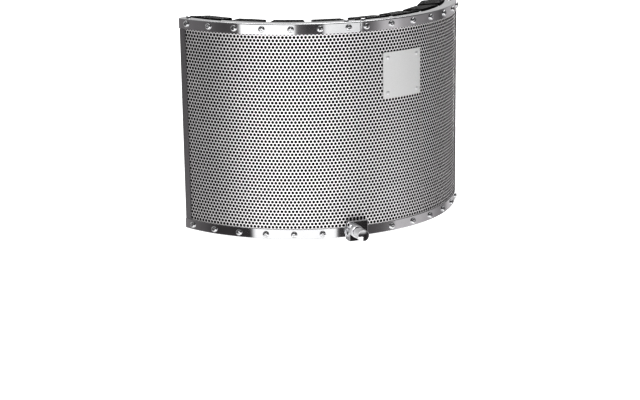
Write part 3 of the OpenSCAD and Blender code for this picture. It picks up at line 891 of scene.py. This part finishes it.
@dataclass
class RimTrim:
    """The chrome rims, the posts and all their fasteners.

    Attributes:
        plan: The screen's shared sizes.
        band: Height of a rim's band.
        metal: Thickness of the rims.
        bend_radius: Outer radius of the rims' bend.
        overhang: Length of a rim past the end of the sandwich.
        joint: Gap between the halves of a rim.
        joint_arc: Arc length from the screen's middle to that gap.
        first_screw: Arc length from the screen's middle to the first band screw.
        screw_pitch: Arc length between band screws.
        screws: Band screws on one half of a rim.
        joint_corner: Radius of the bands' corners at the joint.
        edge: Width of the rims' broken edges.
        corner_inset: Arc length from the sandwich's end to the corner screw.
        flange_inset: Distance of the flange screws inside the outer face.
    """

    plan: ScreenPlan
    band: float = 14.0
    metal: float = 1.2
    bend_radius: float = 1.4
    overhang: float = 1.5
    joint: float = 0.4
    joint_arc: float = 4.0
    first_screw: float = 12.4
    screw_pitch: float = 37.9
    screws: int = 7
    joint_corner: float = 2.4
    edge: float = 0.22
    corner_inset: float = 6.6
    flange_inset: float = 8.875

    def rim_half(self, side: Side, level: Level) -> Piece:
        """Makes one half of a rim: an upright band, a bent edge and a flange over the sandwich.

        Args:
            side: Left or right.
            level: Upper or lower rim.

        Returns:
            The closed, bent strip.
        """
        inner_end = self.joint_arc + side.value * self.joint / 2
        ends = sorted((inner_end, side.value * (self.plan.half_arc + self.overhang)))
        top = level is Level.TOP
        edge = self.plan.high if top else self.plan.low
        other = edge - self.band if top else edge + self.band
        face = -self.plan.gap - self.metal
        made = flat_strip(f"{level.value}_rim_{side.name.lower()}_chrome", (ends[0], ends[1]),
                          (min(edge, other), max(edge, other)), face, 63)
        pick(made, Element.EDGE, lambda c: abs(c.z - edge * MM) < NEAR)
        extrude_picked((0, (self.plan.inner - face) * MM, 0))
        pick(made, Element.EDGE, lambda c: abs(c.z - edge * MM) < NEAR and abs(c.y - face * MM) < NEAR)
        bpy.ops.mesh.bevel(offset=self.bend_radius * MM, segments=5, affect="EDGES")
        pick(made, Element.VERT, lambda c: abs(c.x - inner_end * MM) < NEAR and abs(c.z - other * MM) < NEAR)
        bpy.ops.mesh.bevel(offset=self.joint_corner * MM, segments=4, affect="VERTICES")
        leave_edit()
        modify(made, "SOLIDIFY", thickness=self.metal * MM, offset=-1, use_even_offset=True)
        break_edges(made, self.edge, 2, 60)
        self.plan.bend(made)
        even_shading(made, 50)
        return dress(made, CHROME, "shield", [f"{level.value}_rim_{side.name.lower()}"])

    @staticmethod
    def pan_screw(name: str, head: float, height: float, shank: float, length: float, slot: float) -> Piece:
        """Makes a pan-head screw with a cross recess, its seat at the origin and its head along +Z.

        Args:
            name: The piece's name.
            head: Diameter of the head.
            height: Height of the head.
            shank: Diameter of the shank.
            length: Length of the shank.
            slot: Length of the cross recess.

        Returns:
            The closed screw.
        """
        r = head / 2
        made = turned_piece(name, [(shank / 2 - 0.4, -length), (shank / 2, -length + 0.4), (shank / 2, 0),
                                   (r - 0.15, 0), (r, 0.15), (r, height * 0.35), (r * 0.965, height * 0.56),
                                   (r * 0.88, height * 0.75), (r * 0.72, height * 0.9), (r * 0.5, height * 0.975),
                                   (r * 0.2, height)], 28)
        wide = slot * 0.22
        for half_x, half_y in ((slot / 2, wide / 2), (wide / 2, slot / 2)):
            cut_away(made, box_piece("recess", (-half_x, -half_y, height * 0.45), (half_x, half_y, height * 2)))
        shade_below(made, 35)
        return made

    def band_screws(self) -> Piece:
        """Sets the screws along both bands.

        Returns:
            All of them as one piece.
        """
        out = self.plan.gap + self.metal
        places = []
        for level in Level:
            height = self.plan.high - self.band / 2 if level is Level.TOP else self.plan.low + self.band / 2
            for side in Side:
                for number in range(0 if level is Level.TOP else 1, self.screws):
                    arc = side.value * (self.first_screw + number * self.screw_pitch)
                    places.append(self.plan.seat(arc, height, out, 47 * len(places)))
        screw = self.pan_screw("band_screw", 8.5, 2.6, 4.0, 7.9, 4.4)
        return dress(copies(screw, places, "band_screw_set"), CHROME, "shield", ["band_screws"])

    def flange_screws(self) -> Piece:
        """Sets the screws on the rims' flanges.

        Returns:
            All of them as one piece.
        """
        corner = self.plan.half_arc - self.corner_inset
        places = []
        for level in Level:
            for side in Side:
                for arc in (self.first_screw, corner):
                    places.append(self.plan.flange_seat(side.value * arc, level, self.flange_inset, 31 * len(places)))
        screw = self.pan_screw("flange_screw", 7.0, 2.1, 3.5, 5.4, 3.6)
        return dress(copies(screw, places, "flange_screw_set"), CHROME, "shield", ["flange_screws"])

    def build(self) -> None:
        """Builds the rims, the screws and the posts."""
        for level in Level:
            for side in Side:
                self.rim_half(side, level)
            finished_copy(f"{level.value}_splice", 0.15, ZINC, "shield")
        self.band_screws()
        self.flange_screws()
        for side in Side:
            finished_copy(f"end_post_{side.name.lower()}", 0.25, POST_ENAMEL, "shield")
        dress(frame["nodes"]["band_nuts"], ZINC, "shield")


@dataclass
class BadgePlate:
    """The small bare plate and its four rivets.

    Attributes:
        plan: The screen's shared sizes.
        width: Width along the arc.
        height: Height of the plate.
        arc: Arc length from the screen's middle to the plate's.
        drop: Distance from the upper rim's edge to the plate's middle.
        inset: Distance of the rivets from the plate's edges.
        metal: Thickness of the plate.
        corner: Radius of its corners.
        edge: Width of its broken edges.
    """

    plan: ScreenPlan
    width: float = 65.0
    height: float = 62.5
    arc: float = 69.5
    drop: float = 75.5
    inset: float = 7.5
    metal: float = 1.0
    corner: float = 1.6
    edge: float = 0.2

    def plate(self) -> Piece:
        """Makes the plate: round corners, broken edges, bent to the screen.

        Returns:
            The finished plate.
        """
        middle = self.plan.high - self.drop
        x = (self.arc - self.width / 2, self.arc + self.width / 2)
        z = (middle - self.height / 2, middle + self.height / 2)
        made = flat_strip("badge_plate_bare", x, z, -self.plan.gap - self.metal, 23)
        pick(made, Element.VERT, lambda c: (min(abs(c.x - e * MM) for e in x) < NEAR
                                            and min(abs(c.z - e * MM) for e in z) < NEAR))
        bpy.ops.mesh.bevel(offset=self.corner * MM, segments=4, affect="VERTICES")
        leave_edit()
        modify(made, "SOLIDIFY", thickness=self.metal * MM, offset=-1)
        break_edges(made, self.edge, 2, 60)
        self.plan.bend(made)
        even_shading(made, 50)
        return dress(made, BADGE, "shield", ["badge_plate"])

    def rivets(self) -> Piece:
        """Sets the four domed rivets.

        Returns:
            All of them as one piece.
        """
        rivet = turned_piece("rivet", [(1.5, -2.4), (1.5, 0), (2.5, 0), (2.46, 0.3), (2.2, 0.65), (1.75, 0.95),
                                       (1.1, 1.14), (0.45, 1.2)], 24)
        shade_below(rivet, 40)
        middle = self.plan.high - self.drop
        across, up = self.width / 2 - self.inset, self.height / 2 - self.inset
        places = [self.plan.seat(self.arc + i * across, middle + j * up, self.plan.gap + self.metal)
                  for i in (-1, 1) for j in (-1, 1)]
        return dress(copies(rivet, places, "badge_rivet_set"), RIVET, "shield", ["badge_rivets"])

    def build(self) -> None:
        """Builds the plate and its rivets."""
        self.plate()
        self.rivets()


@dataclass
class FrontBracket:
    """The polished block on the lower rim, its side screw, and the thumbscrew with its collar.

    Attributes:
        front: Y of the block's front.
        left: X of the block's left flank.
        right: X of the block's right flank.
        low: Height of the block's underside.
        rim: Height of the rim's underside, where the lip starts.
        high: Height of the block's top.
        axis_height: Height of the thumbscrew's axis.
        back: Y of the block's back.
        lip: Depth of the lip under the rim.
        edge: Width of the block's broken edges.
        side_screw_place: Y and height of the side screw's axis.
        collar_seat: Distance of the collar's seat from the block's front.
        screw_seat: The same for the thumbscrew's neck.
    """

    front: float = -147.0
    left: float = -8.6
    right: float = 18.2
    low: float = 8.5
    rim: float = 12.0
    high: float = 36.5
    axis_height: float = 23.5
    back: float = -137.85
    lip: float = 5.85
    edge: float = 0.9
    side_screw_place: tuple[float, float] = (-142.7, 21.0)
    collar_seat: float = 0.05
    screw_seat: float = 9.1

    def to_axis(self, obj: Piece, y: float) -> Piece:
        """Turns a piece so that it points out of the screen along the thumbscrew's axis.

        Args:
            obj: The piece, made along +Z.
            y: Where its zero comes to lie, in millimetres.

        Returns:
            The same piece.
        """
        obj.rotation_euler = (math.pi / 2, 0, 0)
        obj.location = (0, y * MM, self.axis_height * MM)
        settle(obj)
        return obj

    def block(self) -> Piece:
        """Makes the block with its lip under the rim and the thumbscrew's bore.

        Returns:
            The finished block.
        """
        made = box_piece("bracket_block_polished", (self.left, self.front, self.low),
                         (self.right, self.back, self.high))
        pick_all(made)
        bpy.ops.mesh.bisect(plane_co=(0, 0, (self.rim - 0.1) * MM), plane_no=(0, 0, 1))
        pick(made, Element.FACE, lambda c: c.y > (self.back - 0.01) * MM and c.z < self.rim * MM)
        extrude_picked((0, self.lip * MM, 0))
        outward(made)
        break_edges(made, self.edge, 3, 40)
        cut_away(made, self.to_axis(turned_piece("bore", [(3.3, -20), (3.3, 20)]), self.front))
        even_shading(made, 35)
        return dress(made, CHROME, "shield", ["bracket_block"])

    def side_screw(self) -> Piece:
        """Makes the socket-head screw in the block's left flank.

        Returns:
            The finished screw.
        """
        made = turned_piece("side_screw_socket_head", [(2.6, -4), (3, -3.6), (3, 0), (5.3, 0), (5.5, 0.2), (5.5, 1.1),
                                                       (5.35, 1.35), (5, 1.5)])
        clear_bench()
        bpy.ops.mesh.primitive_cylinder_add(vertices=6, radius=3.9 * MM, depth=5 * MM, location=(0, 0, 1.5 * MM))
        cut_away(made, newly_added("socket"))
        shade_below(made, 35)
        made.rotation_euler = (0, -math.pi / 2, 0)
        made.location = (self.left * MM, self.side_screw_place[0] * MM, self.side_screw_place[1] * MM)
        settle(made)
        return dress(made, CHROME, "shield", ["side_screw"])

    def collar(self) -> Piece:
        """Makes the loose collar behind the thumbscrew's head.

        Returns:
            The finished collar.
        """
        made = turned_piece("thumb_collar_turned", [(7.7, 0), (8.5, 0.8), (8.5, 8.2), (7.7, 9)], 64)
        soften_edges(made, 0.25, 2, 30)
        cut_away(made, turned_piece("bore", [(3.05, -5), (3.05, 15)]))
        shade_below(made, 28)
        self.polish_end(made, 8.95)
        self.to_axis(made, self.front - self.collar_seat)
        return dress(made, None, "thumb_collar", ["thumb_collar"])

    def thumbscrew(self) -> Piece:
        """Makes the thumbscrew: shaft, neck with a fillet, and a cylindrical head with a polished, slightly domed end.

        Returns:
            The finished screw.
        """
        outline = [(2.4, -42.6), (3, -42), (3, 0), (5.5, 0), (5.5, 4.0), (5.7, 4.3), (6.1, 4.5), (7.2, 4.5),
                   (8, 5.3), (8, 19.5), (7.7, 19.78), (6, 19.86), (4.5, 19.92), (3, 19.965), (1.5, 19.99), (0.4, 20)]
        made = turned_piece("thumbscrew_turned", outline, 64)
        soften_edges(made, 0.15, 2, 30)
        even_shading(made, 25)
        self.polish_end(made, 19.79)
        self.to_axis(made, self.front - self.screw_seat)
        return dress(made, None, "thumbscrew", ["thumbscrew"])

    @staticmethod
    def polish_end(obj: Piece, above: float) -> None:
        """Gives a satin piece a polished end.

        Args:
            obj: The piece, made along +Z.
            above: Height in millimetres at which the polish starts.
        """
        for finish in (SATIN_CHROME, CHROME):
            obj.data.materials.append(finish.material())
        pick(obj, Element.FACE, lambda c: c.z > above * MM)
        obj.active_material_index = 1
        bpy.ops.object.material_slot_assign()

    def build(self) -> None:
        """Builds the bracket's pieces."""
        self.block()
        self.side_screw()
        self.collar()
        self.thumbscrew()


@dataclass
class StandClamp:
    """The sliding rail and the clamp that holds the stand tube.

    Attributes:
        pieces: CAD node, edge width in millimetres, finish, body and slot of each piece.
    """

    pieces: list[tuple[str, float, Finish, str, str]] = field(default_factory=lambda: [
        ("rail", 0.5, BLACK_METAL, "shield", "black_metal"),
        ("clamp_frame", 0.8, BLACK_METAL, "stand_clamp", "black_metal"),
        ("seat_pad", 0.2, RUBBER, "stand_clamp", "pad"),
        ("lock_bolt", 0.4, ZINC, "stand_clamp", "zinc"),
        ("lock_washer", 0.3, ZINC, "lock_washer", "zinc"),
        ("lock_knob", 0.6, KNOB_PLASTIC, "lock_knob", "knob"),
        ("clamp_jaw", 0.6, BLACK_METAL, "jaw", "black_metal"),
        ("jaw_pad", 0.2, RUBBER, "jaw", "pad"),
        ("clamp_screw", 0.4, ZINC, "clamp_screw", "zinc"),
        ("clamp_knob", 0.8, KNOB_PLASTIC, "clamp_screw", "knob"),
    ])

    def build(self) -> None:
        """Finishes each piece of the clamp."""
        for node, edge, finish, body, slot in self.pieces:
            finished_copy(node, edge, finish, body)


@dataclass
class Studio:
    """Floor, surroundings, lamps and camera.

    Attributes:
        camera_place: Where the camera stands, in millimetres.
        camera_turn: Its Euler angles, in degrees.
        focal_px: Its focal length for a picture 640 wide.
        floor_height: Height of the floor.
    """

    camera_place: tuple[float, float, float] = (-807.7, -2168.0, 651.3)
    camera_turn: tuple[float, float, float] = (74.947, 0.738, -20.753)
    focal_px: float = 1698.4
    floor_height: float = -900.0

    def camera(self) -> None:
        """Sets up the camera at the photograph's viewing angle."""
        data = bpy.data.cameras.new("studio_camera")
        data.sensor_width = 36.0
        data.lens = self.focal_px / PICTURE_WIDTH * data.sensor_width
        data.clip_start, data.clip_end = 0.05, 100
        made = bpy.data.objects.new("studio_camera", data)
        made.location = [p * MM for p in self.camera_place]
        made.rotation_euler = [math.radians(a) for a in self.camera_turn]
        bpy.context.scene.collection.objects.link(made)
        bpy.context.scene.camera = made

    def floor(self) -> None:
        """Lays a plain pale floor."""
        clear_bench()
        bpy.ops.mesh.primitive_plane_add(size=30, location=(0, 0, self.floor_height * MM))
        made = newly_added("studio_floor")
        paint = bpy.data.materials.new("pale_floor")
        paint.use_nodes = True
        skin = paint.node_tree.nodes["Principled BSDF"]
        skin.inputs["Base Color"].default_value = linear("#f6f6f6")
        skin.inputs["Roughness"].default_value = 0.9
        skin.inputs["Emission Color"].default_value = (1, 1, 1, 1)
        skin.inputs["Emission Strength"].default_value = 0.8
        made.data.materials.append(paint)
        made.visible_glossy = False

    def surroundings(self) -> None:
        """Makes what the metal mirrors: white panels and dark gaps round the object, white behind it."""
        world = bpy.data.worlds.new("studio")
        bpy.context.scene.world = world
        world.use_nodes = True
        tree = world.node_tree
        tree.nodes.clear()
        ray = add_node(tree, "ShaderNodeTexCoord")
        parts = add_node(tree, "ShaderNodeSeparateXYZ", {0: ray.outputs["Generated"]})
        inwards = add_node(tree, "ShaderNodeMath", {0: parts.outputs[1], 1: -1.0}, operation="MULTIPLY")
        heading = add_node(tree, "ShaderNodeMath", {0: parts.outputs[0], 1: inwards.outputs[0]}, operation="ARCTAN2")
        turn = add_node(tree, "ShaderNodeMapRange", {"Value": heading.outputs[0], "From Min": -math.pi,
                                                     "From Max": math.pi})
        around = turn.outputs[0]
        sweep = self.panels(tree, around, [
            (-180, "#b8b8b8"), (-100, "#b0b0b0"), (-76, "#ffffff"), (80, "#ffffff"), (108, "#b0b0b0"),
            (180, "#b8b8b8")])
        low = self.panels(tree, around, [
            (-180, "#9a9a9a"), (-118, "#868485"), (-107, "#6c6a6b"), (-95, "#5c5a5b"), (-86, "#454344"),
            (-58, "#454344"), (-54.5, "#f0f0f0"), (4, "#f0f0f0"), (6, "#4a4849"), (11, "#4a4849"), (14, "#343233"),
            (25, "#343233"), (29, "#585657"), (40, "#646263"), (49, "#807e7f"), (52.5, "#b8b6b7"), (66, "#b2b0b1"),
            (88, "#a2a0a1"), (100, "#8c8a8b"), (112, "#807e7f"), (121, "#b2b0b1"), (132, "#b0aeaf"),
            (145, "#909090"), (180, "#9a9a9a")])
        high = self.panels(tree, around, [
            (-180, "#a8a8a8"), (-115, "#767475"), (-95, "#6e6c6d"), (-75, "#565455"), (-64, "#5a5859"),
            (-61.5, "#ffffff"), (-24.5, "#ffffff"), (-22, "#6c6a6b"), (-14, "#504e4f"), (-4, "#484647"),
            (-2, "#dcdcdc"), (24, "#d8d8d8"), (25.5, "#5c5a5b"), (31, "#6c6a6b"), (36.5, "#8a8889"),
            (43, "#b2b0b1"), (54, "#b6b4b5"), (59.5, "#9c9a9b"), (75, "#888687"), (95, "#767475"),
            (103, "#605e5f"), (107, "#626061"), (113, "#9c9a9b"), (140, "#a6a4a5"), (180, "#a8a8a8")])
        above = self.panels(tree, around, [
            (-180, "#b0b0b0"), (-135, "#b0b0b0"), (-100, "#6e6e6e"), (-60, "#5c5c5c"), (60, "#4a4a4a"),
            (100, "#6e6e6e"), (135, "#b0b0b0"), (180, "#b0b0b0")])
        # Each layer starts at its own height, given as the sine of the angle above the horizon
        layers = linear("#c0c0c0")
        for colour, start, end in ((sweep, -0.8, -0.66), (low, -0.42, -0.36), (high, -0.25, -0.19),
                                   (above, -0.1, -0.02)):
            share = add_node(tree, "ShaderNodeMapRange", {"Value": parts.outputs[2], "From Min": start,
                                                          "From Max": end})
            mixed = add_node(tree, "ShaderNodeMix", {0: share.outputs[0], 6: layers, 7: colour}, data_type="RGBA")
            layers = mixed.outputs[2]
        studio = add_node(tree, "ShaderNodeBackground", {"Color": layers, "Strength": 1.0})
        white = add_node(tree, "ShaderNodeBackground", {"Color": (1, 1, 1, 1), "Strength": 1.0})
        seen = add_node(tree, "ShaderNodeLightPath")
        both = add_node(tree, "ShaderNodeMixShader", {0: seen.outputs["Is Camera Ray"], 1: studio.outputs[0],
                                                      2: white.outputs[0]})
        add_node(tree, "ShaderNodeOutputWorld", {"Surface": both.outputs[0]})

    @staticmethod
    def panels(tree: bpy.types.NodeTree, around: bpy.types.NodeSocket,
               stops: Sequence[tuple[float, str]]) -> bpy.types.NodeSocket:
        """Paints the panels round the object.

        Args:
            tree: The world's node tree.
            around: Heading as a share of the full turn.
            stops: Heading in degrees from the outward direction, positive to the right, and the colour there.

        Returns:
            The colour output.
        """
        shares = [((heading + 180) / 360, colour) for heading, colour in stops]
        return add_node(tree, "ShaderNodeValToRGB", {0: around}, shares).outputs[0]

    @staticmethod
    def lamp(name: str, place: Sequence[float], aim: Sequence[float], size: tuple[float, float], power: float,
             lights: Optional[bpy.types.Collection] = None) -> None:
        """Hangs a soft lamp.

        Args:
            name: Its name.
            place: Where it hangs, in metres.
            aim: What it points at.
            size: Width and height of its face.
            power: Its power in watts.
            lights: The pieces that it lights and that throw its shadows, or None for all.
        """
        data = bpy.data.lights.new(name, "AREA")
        data.shape = "RECTANGLE"
        data.size, data.size_y, data.energy = size[0], size[1], power
        made = bpy.data.objects.new(name, data)
        made.location = place
        made.rotation_euler = (Vector(aim) - Vector(place)).to_track_quat("-Z", "Y").to_euler()
        made.visible_camera = False
        made.light_linking.receiver_collection = made.light_linking.blocker_collection = lights
        bpy.context.scene.collection.objects.link(made)

    @staticmethod
    def pieces(name: str, wanted: Callable[[Piece], bool]) -> bpy.types.Collection:
        """Gathers the pieces that some lamps light, which leaves the others to mirror the panels.

        Args:
            name: The collection's name.
            wanted: Takes a piece and tells whether it goes in.

        Returns:
            A collection beside the scene.
        """
        made = bpy.data.collections.new(name)
        for obj in bpy.context.scene.objects:
            if obj.type == "MESH" and obj.data.materials and wanted(obj):
                made.objects.link(obj)
        return made

    def build(self) -> None:
        """Builds the studio."""
        self.camera()
        self.surroundings()
        plated = (CHROME.name, SATIN_CHROME.name)
        satin = self.pieces("satin_pieces", lambda obj: obj.data.materials[0].name not in plated)
        turned = self.pieces("turned_pieces", lambda obj: obj.data.materials[0].name == SATIN_CHROME.name)
        screw = self.pieces("turned_screw", lambda obj: obj.name == "thumbscrew_turned")
        self.floor()
        self.lamp("front_softbox", (-0.85, -1.85, -0.3), (0, -0.1, 0.16), (3.6, 1.0), 20, satin)
        self.lamp("side_softbox", (1.35, -1.5, -0.3), (0, 0, 0.16), (1.2, 1.0), 3.5, satin)
        self.lamp("knob_softbox", (-0.5, -0.75, 0.55), (0, -0.16, 0.024), (0.5, 0.5), 5.5, turned)
        self.lamp("knob_card", (0.119, -0.711, -0.22), (0, -0.176, 0.024), (0.18, 0.14), 0.11, screw)
        self.lamp("top_softbox", (0.2, -0.3, 1.8), (0, 0, 0.2), (1.4, 1.4), 4)
        self.lamp("rear_softbox", (0.6, 1.5, 2.0), (0, 0, 0.15), (1.2, 1.2), 12)
        self.lamp("foam_softbox", (0.5, 1.6, 0.1), (0, 0, 0.15), (1.6, 0.8), 45, satin)
        settings = bpy.context.scene.view_settings
        settings.view_transform = "Standard"
        settings.look = "High Contrast"


def main() -> None:
    """Builds every sub-assembly in order, then the studio."""
    logging.basicConfig(level=logging.INFO, format="%(message)s")
    plan = ScreenPlan()
    for part in (SoundScreen(plan), FoamRidges(plan), RimTrim(plan), BadgePlate(plan), FrontBracket(), StandClamp(),
                 Studio()):
        LOG.info("building %s", type(part).__name__)
        part.build()


if __name__ == "__main__":
    main()
